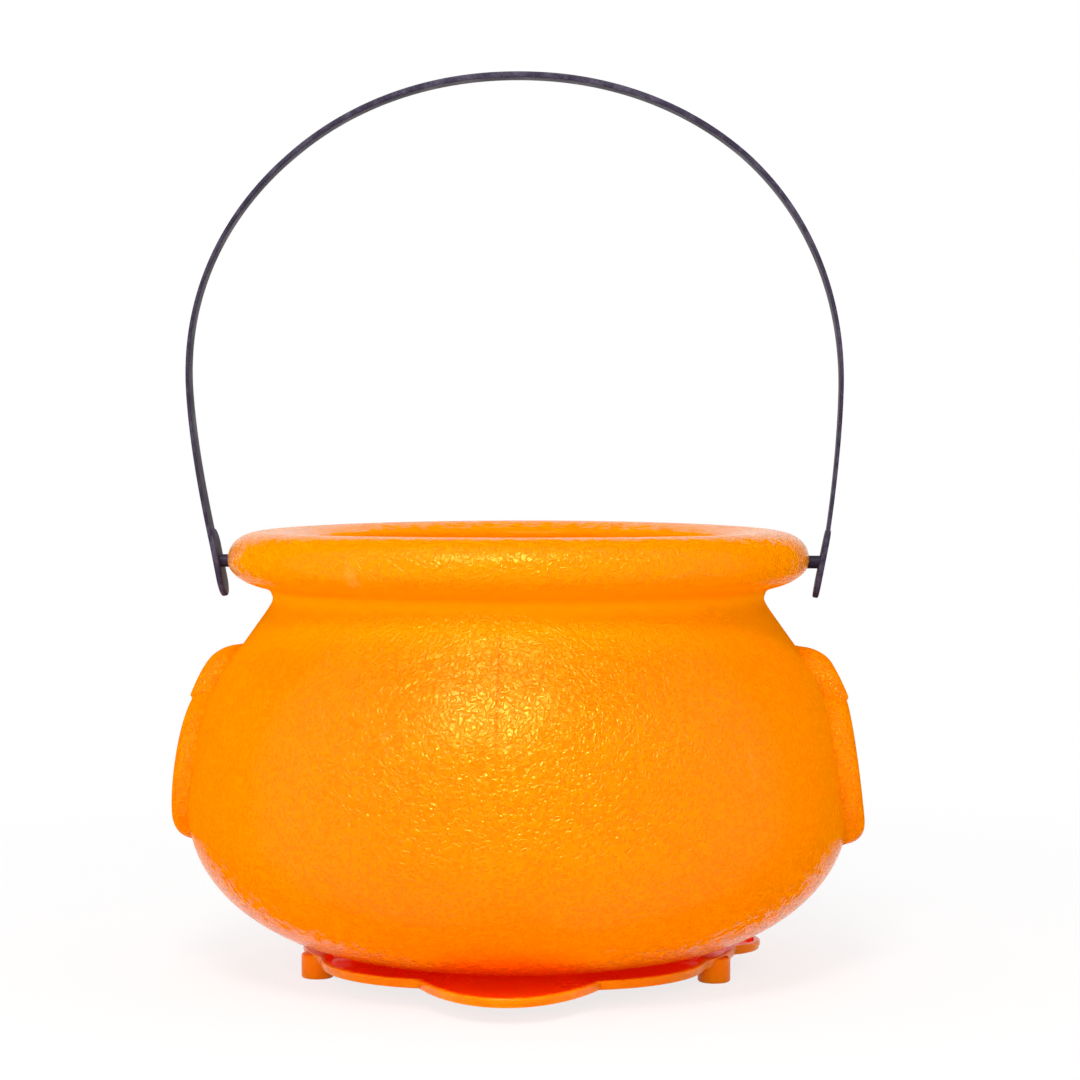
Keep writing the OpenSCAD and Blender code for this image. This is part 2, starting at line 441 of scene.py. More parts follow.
@dataclass(frozen=True)
class GrainedPlastic:
    """Satin orange polyethylene with a fine leathery grain from the mould."""

    name: str = "grained_orange"
    deep: Colour = (0.98, 0.2, 0.0)
    bright: Colour = (0.99, 0.226, 0.0)
    # Darker colour: painted shade in the grain's hollows, and the colour of the seam's line
    valley: Colour = (0.97, 0.143, 0.0)
    valley_share: float = 0.38
    # Paler colour towards the neck and rim: painted light for the light that the rim's overhang keeps off
    painted_light: Colour = (1.0, 0.3, 0.0)
    painted_light_share: float = 0.9
    scuff: Colour = (0.97, 0.36, 0.06)
    scuff_share: float = 0.5
    sheen: Rgba = (1.0, 0.64, 0.1, 1.0)
    soft_share: float = 0.5
    glow: Colour = (1.0, 0.5, 0.12)
    glow_depth: float = 0.008
    cell: float = 640.0
    cell_warp: float = 0.5
    ridge_half: float = 0.19
    depth: float = 0.00023
    fine_depth: float = 0.00002
    gloss: Span = (0.12, 0.18)
    shine: float = 0.2
    shine_fade: float = 0.46
    plain_shine: float = 0.1
    edge_shine: float = 0.16
    edge_fade: Span = (0.7, 0.9)
    edge_ragged: float = 0.09

    def colour(self, graph: ShaderGraph, ridge: bpy.types.NodeSocket,
               grain: bpy.types.NodeSocket) -> bpy.types.NodeSocket:
        """Mix the colour of the plastic, with painted light towards the rim and painted shade in the grain's
        hollows.

        Args:
            graph: Material in the making.
            ridge: Output that is 1 on the grain's ridges.
            grain: Output that says how strong the grain is.

        Returns:
            The colour's output.
        """
        colour = graph.tint(graph.span(graph.noise(11.0, 3.0), *MOST), self.deep, self.bright)
        # Painted shade: the grain's hollows are darkened
        hollow = graph.maths("MULTIPLY", graph.span(ridge, 0.1, 0.9, self.valley_share, 0.0), grain)
        colour = graph.tint(hollow, colour, self.valley)
        # Painted light: the colour turns paler towards the neck and rim
        height = graph.maths("MULTIPLY", graph.attribute("painted_light"), self.painted_light_share)
        colour = graph.tint(height, colour, self.painted_light)
        rub = graph.span(graph.noise(70.0, 5.0, 0.65, (1, 1, 0.3)), 0.66, 0.8, 0.0, self.scuff_share)
        colour = graph.tint(rub, colour, self.scuff)
        return graph.tint(graph.span(graph.attribute("seam"), 0.0, 1.0), colour, self.valley)

    def reflection(self, graph: ShaderGraph, grain: bpy.types.NodeSocket) -> bpy.types.NodeSocket:
        """Work out how strongly the plastic mirrors, with a ragged pale sheen at some of its edges.

        Args:
            graph: Material in the making.
            grain: Output that says how strong the grain is.

        Returns:
            The strength's output.
        """
        facing = graph.add("ShaderNodeLayerWeight").outputs["Facing"]
        front = graph.span(facing, 0.0, self.shine_fade, self.shine, 0.0)
        front = graph.maths("MULTIPLY", front, graph.span(grain, 0.0, 1.0, self.plain_shine, 1.0))
        jitter = graph.span(graph.noise(330.0, 2.0), *MOST, -self.edge_ragged, self.edge_ragged)
        edge = graph.span(graph.maths("ADD", facing, jitter), *self.edge_fade, 0.0, self.edge_shine)
        return graph.maths("MAXIMUM", front, graph.maths("MULTIPLY", edge, graph.attribute("haze")))

    def material(self) -> bpy.types.Material:
        """Build the finish, which reads the corners' numbers for grain, seam, haze and the painted light
        towards the rim.

        Returns:
            The finished material.
        """
        graph = ShaderGraph(self.name)
        grain = graph.attribute("grain")
        worm = graph.maths("SUBTRACT", graph.noise(self.cell, 0.6, warp=self.cell_warp), 0.5)
        ridge = graph.span(graph.maths("ABSOLUTE", worm), 0.0, self.ridge_half, 1.0, 0.0)
        fine = graph.bump(graph.noise(1900.0, 2.0), self.fine_depth)
        return graph.settle(
            Base_Color=self.colour(graph, ridge, grain),
            Roughness=graph.span(graph.noise(45.0, 4.0), *NEARLY_ALL, *self.gloss),
            Specular_IOR_Level=self.reflection(graph, grain), Specular_Tint=self.sheen,
            Subsurface_Weight=self.soft_share, Subsurface_Radius=self.glow, Subsurface_Scale=self.glow_depth,
            Normal=graph.bump(graph.maths("MULTIPLY", ridge, grain), self.depth, fine))


@dataclass(frozen=True)
class SmoothPlastic:
    """Smooth orange plastic with faint flow lines and fine scuffs, with painted shade and a painted red glow
    on the dish's floor.
    """

    name: str = "smooth_orange"
    deep: Colour = (0.97, 0.185, 0.0)
    bright: Colour = (0.98, 0.225, 0.0)
    scuff: Colour = (0.97, 0.34, 0.05)
    scuff_share: float = 0.5
    # Deep red on the dish's floor under the pot: painted shade
    painted_shade: Colour = (1.0, 0.06, 0.0)
    painted_shade_share: float = 0.75
    sheen: Rgba = (1.0, 0.6, 0.2, 1.0)
    shine: float = 0.2
    gloss: Span = (0.22, 0.36)
    soft_share: float = 0.7
    glow: Colour = (1.0, 0.2, 0.03)
    glow_depth: float = 0.014
    # Red emission on the dish's floor: a painted glow standing in for light that passes through the plastic
    painted_glow: Rgba = (1.0, 0.015, 0.0, 1.0)
    painted_glow_strength: float = 0.2
    ripple_depth: float = 0.00012
    fine_depth: float = 0.00002

    def material(self) -> bpy.types.Material:
        """Build the finish, which reads how deep in the dish each corner lies and paints shade and a red glow
        there.

        Returns:
            The finished material.
        """
        graph = ShaderGraph(self.name)
        flow = graph.noise(26.0, 4.0, 0.6, (1.0, 0.35, 1.0), 1.2)
        colour = graph.tint(graph.span(flow, *MOST), self.deep, self.bright)
        rub = graph.span(graph.noise(160.0, 5.0, 0.7), 0.62, 0.78, 0.0, self.scuff_share)
        colour = graph.tint(rub, colour, self.scuff)
        sunk = graph.attribute("sunk")
        ripple = graph.bump(graph.noise(90.0, 3.0), self.ripple_depth)
        return graph.settle(
            # Painted shade on the dish's floor
            Base_Color=graph.tint(graph.maths("MULTIPLY", sunk, self.painted_shade_share), colour, self.painted_shade),
            Roughness=graph.span(graph.noise(60.0, 4.0), *NEARLY_ALL, *self.gloss),
            Specular_IOR_Level=self.shine, Specular_Tint=self.sheen,
            Subsurface_Weight=self.soft_share, Subsurface_Radius=self.glow, Subsurface_Scale=self.glow_depth,
            # Painted glow on the dish's floor
            Emission_Color=self.painted_glow,
            Emission_Strength=graph.maths("MULTIPLY", sunk, self.painted_glow_strength),
            Normal=graph.bump(graph.noise(900.0), self.fine_depth, ripple))


@dataclass(frozen=True)
class StrapPlastic:
    """Satin charcoal plastic with a violet cast, rubbed paler along its edges."""

    name: str = "satin_charcoal"
    dark: Colour = (0.025, 0.019, 0.036)
    pale: Colour = (0.038, 0.031, 0.054)
    worn: Colour = (0.075, 0.066, 0.095)
    worn_share: float = 0.8
    streak_share: float = 0.25
    shine: float = 0.02
    gloss: Span = (0.34, 0.5)
    ripple_depth: float = 0.00008
    fine_depth: float = 0.000025

    def material(self) -> bpy.types.Material:
        """Build the finish, which reads the corners' edge numbers.

        Returns:
            The finished material.
        """
        graph = ShaderGraph(self.name)
        colour = graph.tint(graph.span(graph.noise(38.0, 4.0, 0.6), *MOST), self.dark, self.pale)
        patchy = graph.span(graph.noise(210.0, 5.0, 0.7), 0.4, 0.66, 0.0, self.worn_share)
        colour = graph.tint(graph.maths("MULTIPLY", graph.attribute("edge"), patchy), colour, self.worn)
        streak = graph.noise(420.0, 3.0, 0.6, (1, 0.08, 1))
        streak = graph.span(streak, 0.64, 0.78, 0.0, self.streak_share)
        ripple = graph.bump(graph.noise(120.0, 3.0), self.ripple_depth)
        return graph.settle(
            Base_Color=graph.tint(streak, colour, self.worn),
            Roughness=graph.span(graph.noise(80.0, 4.0), *NEARLY_ALL, *self.gloss),
            Specular_IOR_Level=self.shine,
            Normal=graph.bump(graph.noise(1500.0, 2.0), self.fine_depth, ripple))


@dataclass(frozen=True)
class PaleFloor:
    """Matt white studio floor."""

    name: str = "pale_floor"
    colour: Rgba = (0.9, 0.9, 0.9, 1.0)
    matt: float = 0.9
    shine: float = 0.1
    white_near: float = 0.78
    fade: Span = (0.16, 0.55)

    def material(self) -> bpy.types.Material:
        """Build the finish, which fades to plain white for what looks at it away from the middle.

        Returns:
            The finished material.
        """
        graph = ShaderGraph(self.name)
        graph.settle(Base_Color=self.colour, Roughness=self.matt, Specular_IOR_Level=self.shine)
        rays = graph.add("ShaderNodeLightPath").outputs
        seen = graph.maths("MAXIMUM", rays["Is Camera Ray"], rays["Is Glossy Ray"])
        seen = graph.maths("MAXIMUM", seen, rays["Is Transmission Ray"])
        length = graph.add("ShaderNodeVectorMath", operation="LENGTH")
        graph.feed(length.inputs[0], graph.place)
        share = graph.span(length.outputs["Value"], *self.fade, self.white_near, 1.0)
        white = graph.add("ShaderNodeEmission")
        mix = graph.add("ShaderNodeMixShader")
        graph.feed(mix.inputs["Fac"], graph.maths("MULTIPLY", seen, share))
        graph.feed(mix.inputs[1], graph.surface.outputs["BSDF"])
        graph.feed(mix.inputs[2], white.outputs["Emission"])
        graph.feed(graph.nodes["Material Output"].inputs["Surface"], mix.outputs["Shader"])
        return graph.material


# Pieces


@dataclass
class PotShell:
    """Blow-moulded pot: belly, shoulder, hollow rolled rim and a ring handle in relief on both sides."""

    base_z: float = 6.4
    belly_r: float = 102.0
    belly_h: float = 44.3
    foot_r: float = 39.0
    shoulder_h: float = 90.2
    shoulder_in: float = 12.8
    neck_r: float = 73.2
    wall: float = 1.8
    recess_r: float = 30.0
    recess_h: float = 2.0
    rim_h: float = 121.8
    rim_t: float = 18.4
    rim_out: float = 16.6
    crown_in: float = 2.4
    lip_w: float = 6.3
    crest_r: float = 77.0
    crest_power: float = 2.4
    lip_drop: float = 2.0
    lip_power: float = 1.6
    lip_roll: float = 2.2
    skirt_h: float = 7.0
    ring_h: float = 58.6
    ring_r: float = 24.5
    ring_w: float = 10.0
    ring_out: float = 5.3
    lug_w: float = 20.0
    lug_h: float = 12.0
    lug_out: float = 6.2
    lug_round: float = 5.0
    lug_foot: float = 1.8
    relief_power: float = 2.3
    hole_r: float = 2.1
    hole_drop: float = 0.7
    mould_radius: float = 0.7
    seam_w: float = 0.32
    seam_out: float = 0.1
    rim_warp: float = 0.3
    trim_waver: float = 0.25
    trim_reach: float = 1.6
    crease_radius: float = 5.0
    crease_reach: float = 6.0
    plain_band: Span = (115.5, 122.3)
    band_grain_loss: float = 0.9
    band_painted_light_loss: float = 0.65
    lip_grain: float = 0.25
    inner_grain: float = 0.3
    seam_span: Span = (84.0, 109.0)
    seam_fade: Span = (8.0, 4.0)
    seam_faint: float = 0.2
    # Heights over which the painted light towards the rim rises
    painted_light_span: Span = (99.0, 118.0)
    haze_span: Span = (32.0, 46.0)
    rim_haze: float = 0.5
    rim_haze_drop: float = 6.0
    relief_from: float = 60.0
    trace_step: float = 0.1
    lip_step: float = 0.4
    relief_steps: Span = (0.6, 1.3)
    rim_steps: Span = (0.9, 1.6)
    plain_steps: Span = (1.7, 2.6)
    finish: GrainedPlastic = field(default_factory=GrainedPlastic)

    def __post_init__(self) -> None:
        """Work out the heights and radii that follow from the fields."""
        self.belly_z = self.base_z + self.belly_h
        self.shoulder_z = self.base_z + self.shoulder_h
        self.shoulder_r = self.belly_r - self.shoulder_in
        self.rim_z = self.base_z + self.rim_h
        self.rim_r = self.neck_r + self.rim_out
        self.crown_r = self.neck_r - self.crown_in
        self.mouth_r = self.crown_r - self.lip_w
        self.rim_top = self.rim_z + self.rim_t / 2
        self.ring_z = self.base_z + self.ring_h
        self.lug_top = self.ring_z + self.ring_r + self.lug_h

    def rim_angle(self, radius: float, inset: float) -> float:
        """Angle on the rim's rolled section at which its underside meets a radius."""
        return -math.acos((radius - self.crown_r) / (self.rim_r - self.crown_r - inset))

    def section(self, inset: float) -> np.ndarray:
        """Half section of the pot's skin, from the axis to the trimmed mouth.

        Args:
            inset: How far the skin is moved into the wall.

        Returns:
            Radius and height of each point.
        """
        steps = np.linspace(0, 1, 161)[:, None]
        neck_top = self.rim_z + self.rim_t / 2 * math.sin(self.rim_angle(self.neck_r, 0))
        cone = (self.shoulder_r - self.neck_r) / (neck_top - self.shoulder_z)
        cone_inset = inset * math.hypot(1, cone)
        bevel = inset * math.tan(math.pi / 8)
        recess_top = self.base_z + self.recess_h + inset
        widest = np.array([self.belly_r - inset, self.belly_z])
        shoulder = np.array([self.shoulder_r - cone_inset, self.shoulder_z])
        turn = np.array([widest[0], shoulder[1] - (widest[0] - shoulder[0]) / cone])
        low = -math.pi / 2 * (1 - steps)
        under = np.array([self.foot_r, self.belly_z]) + np.hstack([
            (self.belly_r - self.foot_r - inset) * np.cos(low), (self.belly_h - inset) * np.sin(low)])
        bend = widest * (1 - steps) ** 2 + turn * 2 * steps * (1 - steps) + shoulder * steps ** 2
        start = self.rim_angle(self.neck_r - cone_inset, inset)
        roll, half_t = start * (1 - steps), self.rim_t / 2 - inset
        rim = np.array([self.crown_r, self.rim_z]) + np.hstack([
            (self.rim_r - self.crown_r - inset) * np.cos(roll), half_t * np.sin(roll)])
        rise, full = math.pi / 2 * steps[1:], 2 / self.crest_power
        crest = np.array([self.crest_r, self.rim_z]) + np.hstack([
            (self.rim_r - self.crest_r - inset) * np.cos(rise) ** full, half_t * np.sin(rise) ** full])
        fall, lip_in = steps[8::8], self.mouth_r + self.lip_roll - self.crest_r
        lip = crest[-1] + np.hstack([lip_in * fall, -self.lip_drop * fall ** self.lip_power])
        foot = [[0, recess_top], [self.recess_r + bevel, recess_top],
                [self.recess_r + self.recess_h + bevel, self.base_z + inset]]
        trim = [[self.mouth_r, self.rim_top - self.lip_drop - inset]]
        return np.vstack([foot, under, bend[1:], rim, crest, lip, trim])

    def outline(self) -> tuple[np.ndarray, np.ndarray, np.ndarray]:
        """Moulded half section, out along the skin and back inside, in steps that suit each stretch.

        Returns:
            Radius and height of each row, the outward normal there, and whether the row is outside.
        """
        outer, inner = self.section(0), self.section(self.wall)
        turn = np.linspace(0, math.pi / 2, 13)[:, None]
        middle = np.array([self.mouth_r + self.lip_roll, self.rim_top - self.lip_drop - self.lip_roll])
        roll = middle + self.lip_roll * np.hstack([-np.sin(turn), np.cos(turn)])
        tuck, back = self.rim_top - self.skirt_h, self.mouth_r + self.wall
        skirt = [[self.mouth_r, tuck], [back, tuck], [back, self.rim_top - self.lip_drop - self.wall]]
        skin = np.vstack([outer[:-1], roll, skirt, inner[-2::-1]])
        edge = len(outer) - 1 + len(roll)
        travel = np.concatenate([[0], np.cumsum(np.linalg.norm(np.diff(skin, axis=0), axis=1))])
        fine = self.trace_step
        dense = np.arange(0, travel[-1], fine)
        line = np.stack([np.interp(dense, travel, skin[:, i]) for i in range(2)], axis=1)
        crease = np.linalg.norm(line - [self.neck_r, self.rim_z - self.rim_t / 2], axis=1)
        share = np.exp(-((crease / self.crease_reach) ** 2))[:, None]
        sharp, soft = [eased(line, radius / fine) for radius in (self.mould_radius, self.crease_radius)]
        line = (1 - share) * sharp + share * soft
        line[0, 0] = line[-1, 0] = 0.0
        slope = np.gradient(line, axis=0)
        slope /= np.linalg.norm(slope, axis=1)[:, None]
        split = travel[edge] + self.wall / 2

        def spacing(place: float) -> float:
            """Find the wanted step between rows.

            Args:
                place: Distance along the outline.

            Returns:
                The step there.
            """
            r, z = line[min(int(place / fine), len(line) - 1)]
            if abs(place - split) < self.skirt_h + 5:
                return self.lip_step
            outer_step, inner_step = self.plain_steps
            if r > self.relief_from and self.ring_z - self.ring_r - 2 < z < self.lug_top + 3:
                outer_step, inner_step = self.relief_steps
            elif z > self.rim_z - self.rim_t / 2 - 3:
                outer_step, inner_step = self.rim_steps
            return outer_step if place < split else inner_step

        rows = graded(0, dense[-1], spacing)
        pick = np.clip(np.rint(rows / fine).astype(int), 0, len(line) - 1)
        normal = np.stack([slope[pick, 1], -slope[pick, 0]], axis=1)
        return line[pick], normal, rows < split

    def bearings(self) -> np.ndarray:
        """Choose the columns round the axis.

        Returns:
            Their angles, closer at the relief and the mould's parting line.
        """
        quarter = math.pi / 2 * self.belly_r

        def spacing(place: float) -> float:
            """Wanted step between columns, in millimetres round the belly."""
            relief = 0.6 + 0.25 * max(0.0, place - self.ring_r - 3)
            return min(2.6, relief, 0.15 + 0.35 * (quarter - place))

        turn = graded(0, quarter, spacing) / self.belly_r
        half = np.concatenate([turn, math.pi - turn[-2::-1]])
        return np.concatenate([half[:-1], math.pi + half[:-1]])

    def relief(self, y: np.ndarray, z: np.ndarray, inset: np.ndarray) -> np.ndarray:
        """Height of the ring handle and its lug above the wall.

        Args:
            y: Distance along the wall from the handle's middle line.
            z: Height above the floor.
            inset: How far the skin lies inside the wall's face.

        Returns:
            Height out from the wall.
        """
        power = self.relief_power
        half = self.ring_w / 2 - inset
        across = np.abs(np.hypot(y, z - self.ring_z) - (self.ring_r - self.ring_w / 2)) / half
        ring = self.ring_out * np.clip(1 - across ** power, 0, 1) ** (1 / power)
        round_r = self.lug_w / 2 - inset
        crown_z = self.lug_top - self.lug_w / 2
        foot_z = self.ring_z + self.ring_r - self.ring_w / 2 + inset
        side = (round_r - np.hypot(y, np.maximum(z - crown_z, 0))) / self.lug_round
        inside = np.clip(np.minimum(side, (z - foot_z) / self.lug_foot), 0, 1)
        lug = self.lug_out * (1 - (1 - inside) ** power) ** (1 / power)
        return np.maximum(ring, lug)

    def skin(self) -> tuple[Shape, dict[str, np.ndarray]]:
        """Build the whole skin of the pot.

        Returns:
            The skin, and the numbers for each corner that the finish reads.
        """
        rows, normal, outside = self.outline()
        turn = self.bearings()[None, :]
        r, z = rows[:, :1], rows[:, 1:]
        out = outside[:, None]
        near_rim = ramp(z, self.rim_z - self.rim_t, self.rim_top)
        warp = self.rim_warp * near_rim * -np.cos(2 * turn)
        trim = np.exp(-(((r - self.mouth_r) / self.trim_reach) ** 2)) * (z > self.rim_z)
        waver = np.sin(3 * turn + 0.7) + 0.7 * np.sin(8 * turn + 2.1) + 0.4 * np.sin(19 * turn)
        cut = self.trim_waver * trim * waver
        off_seam = self.belly_r * np.minimum(np.abs(turn - math.pi / 2), np.abs(turn - 3 * math.pi / 2))
        low, high = self.seam_span
        fade_in, fade_out = self.seam_fade
        strong = self.seam_faint + (1 - self.seam_faint) * ramp(z, low - fade_in, low)
        strong = strong * ramp(-z, -high - fade_out, -high)
        line = np.exp(-((off_seam / self.seam_w) ** 2)) * strong * out * (r > self.foot_r)
        raised = self.seam_out * line
        radius = r + cut + raised * normal[:, :1]
        x, y = radius * np.cos(turn), radius * np.sin(turn)
        height = z + warp + raised * normal[:, 1:] + 0 * turn
        inset = np.where(out, 0.0, self.wall)
        ease = np.maximum(normal[:, :1] * np.where(out, 1, -1), 0.3) * np.maximum(np.abs(np.cos(turn)), 0.5)
        zone = (r > self.relief_from) & (z < self.lug_top + 8)
        x = x + np.sign(np.cos(turn)) * self.relief(y, height, inset) / ease * zone
        shape = ring_grid(np.stack([x, y, height], axis=2))
        low, high = self.plain_band
        ragged = 0.8 * np.sin(5 * turn + 1.3) + 0.6 * np.sin(13 * turn + 0.4) + 0.4 * np.sin(31 * turn)
        smooth = ramp(z + ragged, low - 1.5, low) * ramp(-z, -high - 0.8, -high)
        lip_under = self.rim_top - self.lip_drop - self.lip_roll / 2
        tucked = (r < self.crown_r) & (z > self.rim_z) & (z < lip_under)
        rolled = np.where(z > self.rim_z, ramp(r, self.crown_r, self.crest_r + 2), 1.0)
        lip_share = self.lip_grain + (1 - self.lip_grain) * rolled
        wall_share = np.where(out & ~tucked, 1.0, self.inner_grain)
        grain = (1 - self.band_grain_loss * smooth) * lip_share * wall_share + 0 * turn

        def per_corner(values: np.ndarray) -> np.ndarray:
            """List the values in the order of the skin's corners."""
            return np.concatenate([values[:1, 0], values[1:-1].ravel(), values[-1:, 0]])

        # Painted light: share of the paler colour, rising towards the neck and rim and weaker in the plain
        # band
        painted_light_loss = self.band_painted_light_loss * ramp(z, *self.plain_band)
        painted_light = ramp(z, *self.painted_light_span) * (1 - painted_light_loss) + 0 * turn
        low, high = self.haze_span
        on_rim = self.rim_haze * ramp(z, self.rim_z - self.rim_haze_drop, self.rim_z)
        haze = np.maximum(ramp(-z, -high, -low), on_rim) + 0 * turn
        numbers = {"grain": grain, "seam": line, "painted_light": painted_light, "haze": haze}
        return shape, {name: per_corner(values) for name, values in numbers.items()}

    def build(self) -> bpy.types.Object:
        """Make the pot, pierce its rim for the bail's studs and dress it.

        Returns:
            The finished pot.
        """
        shape, numbers = self.skin()
        pot = shape.to_object("pot_shell")
        for name, values in numbers.items():
            mark(pot, name, values)
        drills = []
        for side in (-1, 1):
            drum = [(0, 0), (self.hole_r, 0), (self.hole_r, self.rim_r), (0, self.rim_r)]
            start = (side * self.crown_r, 0, self.rim_z - self.hole_drop)
            drills.append(lathe(drum, start, (side, 0, 0), 40).to_object(f"drill_{side}"))
        combine(pot, drills, Join.CUT)
        return dress(pot, self.finish.material(), Body.POT, "pot")


@dataclass
class BailHandle:
    """Strap handle with a round-ended pad and a barbed stud at each end."""

    pivot: Vector = field(default_factory=lambda: Vector(frame["joints"][0]["pos_m"]) / MM)
    strap_x: float = 94.7
    bow_out: float = 6.8
    bow_h: float = 56.3
    bail_h: float = 150.7
    strap_t: float = 1.1
    crown_t: float = 1.8
    strap_w: float = 10.0
    strap_edge: float = 0.45
    pad_l: float = 21.4
    pad_drop: float = 0.7
    pad_w: float = 11.5
    pad_t: float = 1.8
    pad_edge: float = 0.5
    stud_r: float = 2.0
    barb_x: float = 85.85
    barb_out: float = 0.8
    barb_l: float = 4.0
    bow_power: float = 1.6
    arch_power: float = 2.07
    sway: float = 0.35
    twist: float = 3.6
    twist_span: Span = (6.0, 100.0)
    drift: float = 1.3
    drift_h: float = 125.0
    finish: StrapPlastic = field(default_factory=StrapPlastic)

    def path(self) -> np.ndarray:
        """Outer line of the bent strap, from one pivot over the top to the other.

        Returns:
            Position across and up from the pivot of each point.
        """
        bow_x = self.strap_x + self.bow_out
        up = np.linspace(0, 1, 41)[:-1]
        lower = np.stack([bow_x - self.bow_out * (1 - up) ** self.bow_power, self.bow_h * up], axis=1)
        turn = np.linspace(0, math.pi, 181)
        full = 2 / self.arch_power
        across = np.sign(np.round(np.cos(turn), 9)) * np.abs(np.cos(turn)) ** full
        rise = np.clip(np.sin(turn), 0, 1) ** full
        arch = np.stack([bow_x * across, self.bow_h + (self.bail_h - self.bow_h) * rise], axis=1)
        return np.vstack([lower, arch, lower[::-1] * [-1, 1]])

    def strap_section(self, thickness: float) -> np.ndarray:
        """Trace the strap's rounded flat section.

        Args:
            thickness: Thickness of the strap.

        Returns:
            Width and depth under the outer face of each point.
        """
        half, edge = self.strap_w / 2, self.strap_edge
        turn = np.linspace(0, math.pi / 2, 6)
        quarter = np.stack([half - edge + edge * np.cos(turn), -edge + edge * np.sin(turn)], axis=1)
        top = np.vstack([quarter, quarter[::-1] * [-1, 1]])
        bottom = np.stack([top[::-1, 0], -thickness - top[::-1, 1]], axis=1)
        return np.vstack([top, bottom])

    def turn_at(self, rise: np.ndarray) -> np.ndarray:
        """Angle by which the soft strap has twisted at a height above the pivot."""
        return math.radians(self.twist) * ramp(rise, *self.twist_span)

    def drift_at(self, rise: np.ndarray) -> np.ndarray:
        """How far the soft strap leans to one side at a height above the pivot."""
        return -self.drift * np.sin(math.pi * np.clip(rise / self.drift_h, 0, 1))

    def strap(self) -> Shape:
        """Sweep the section along the strap, with the slight twist and lean of soft plastic.

        Returns:
            The closed strap.
        """
        path = self.path()
        along = np.gradient(path, axis=0)
        along /= np.linalg.norm(along, axis=1)[:, None]
        share = np.linspace(0, 1, len(path))
        bend = self.sway * np.sin(math.pi * share) * np.sin(3 * math.pi * share + 0.6)
        rows = []
        for (x, z), (dx, dz), lean in zip(path, along, bend):
            section = self.strap_section(self.strap_t + (self.crown_t - self.strap_t) * dx * dx)
            px, py, pz = x + section[:, 1] * dz, section[:, 0] + lean, z - section[:, 1] * dx
            turn = self.turn_at(pz)
            across = px * np.cos(turn) - py * np.sin(turn) + self.drift_at(pz)
            rows.append(np.stack([across, px * np.sin(turn) + py * np.cos(turn), pz + self.pivot.z], axis=1))
        first, last = rows[0].mean(axis=0), rows[-1].mean(axis=0)
        count = len(rows[0])
        return ring_grid(np.array([np.tile(first, (count, 1)), *rows, np.tile(last, (count, 1))]))

    def end(self, side: int) -> list[Shape]:
        """Make the round-ended pad and the barbed stud of one end.

        Args:
            side: 1 for +X and -1 for -X.

        Returns:
            The pad and the stud.
        """
        tilt = math.atan(self.bow_power * self.bow_out / self.bow_h)
        inwards = (-side * math.cos(tilt), 0, math.sin(tilt))
        upwards = (side * math.sin(tilt), 0, math.cos(tilt))
        middle = Vector((side * self.strap_x, 0, self.pivot.z)) - self.pad_drop * Vector(upwards)
        plate = rounded_drum(self.pad_w / 2, self.pad_t, self.pad_edge)
        pad = lathe(plate, middle, inwards, 64, upwards, (self.pad_l - self.pad_w) / 2)
        start = self.strap_x - self.pad_t / 2
        reach = start - self.barb_x
        wide, tip = self.stud_r + self.barb_out, self.stud_r - self.barb_out
        profile = [(0, 0), (self.stud_r, 0), (self.stud_r, reach), (wide, reach),
                   (wide - 0.1, reach + 0.3), (tip, reach + self.barb_l), (0, reach + self.barb_l)]
        stud = lathe(profile, (side * start, 0, self.pivot.z), (-side, 0, 0), 32)
        return [pad, stud]

    def build(self) -> bpy.types.Object:
        """Make the bail in one moulding and dress it.

        Returns:
            The finished bail.
        """
        bail = self.strap().to_object("bail_strap")
        ends = [shape.to_object("bail_end") for side in (-1, 1) for shape in self.end(side)]
        combine(bail, ends, Join.ADD)
        bail.data.set_sharp_from_angle(angle=math.radians(40))
        place = corners(bail)
        low = place[:, 2] - self.pivot.z
        past = np.maximum(np.abs(low + self.pad_drop) - (self.pad_l - self.pad_w) / 2, 0)
        rim = np.hypot(place[:, 1], past) - (self.pad_w / 2 - self.pad_edge * 2)
        turn = self.turn_at(low)
        width = place[:, 1] * np.cos(turn) - (place[:, 0] - self.drift_at(low)) * np.sin(turn)
        edge = np.abs(width) - (self.strap_w / 2 - self.strap_edge * 1.2)
        worn = np.where(low > self.pad_l / 2, ramp(edge, 0, self.strap_edge), ramp(rim, 0, self.pad_edge))
        mark(bail, "edge", worn)
        return dress(bail, self.finish.material(), Body.BAIL, "bail")


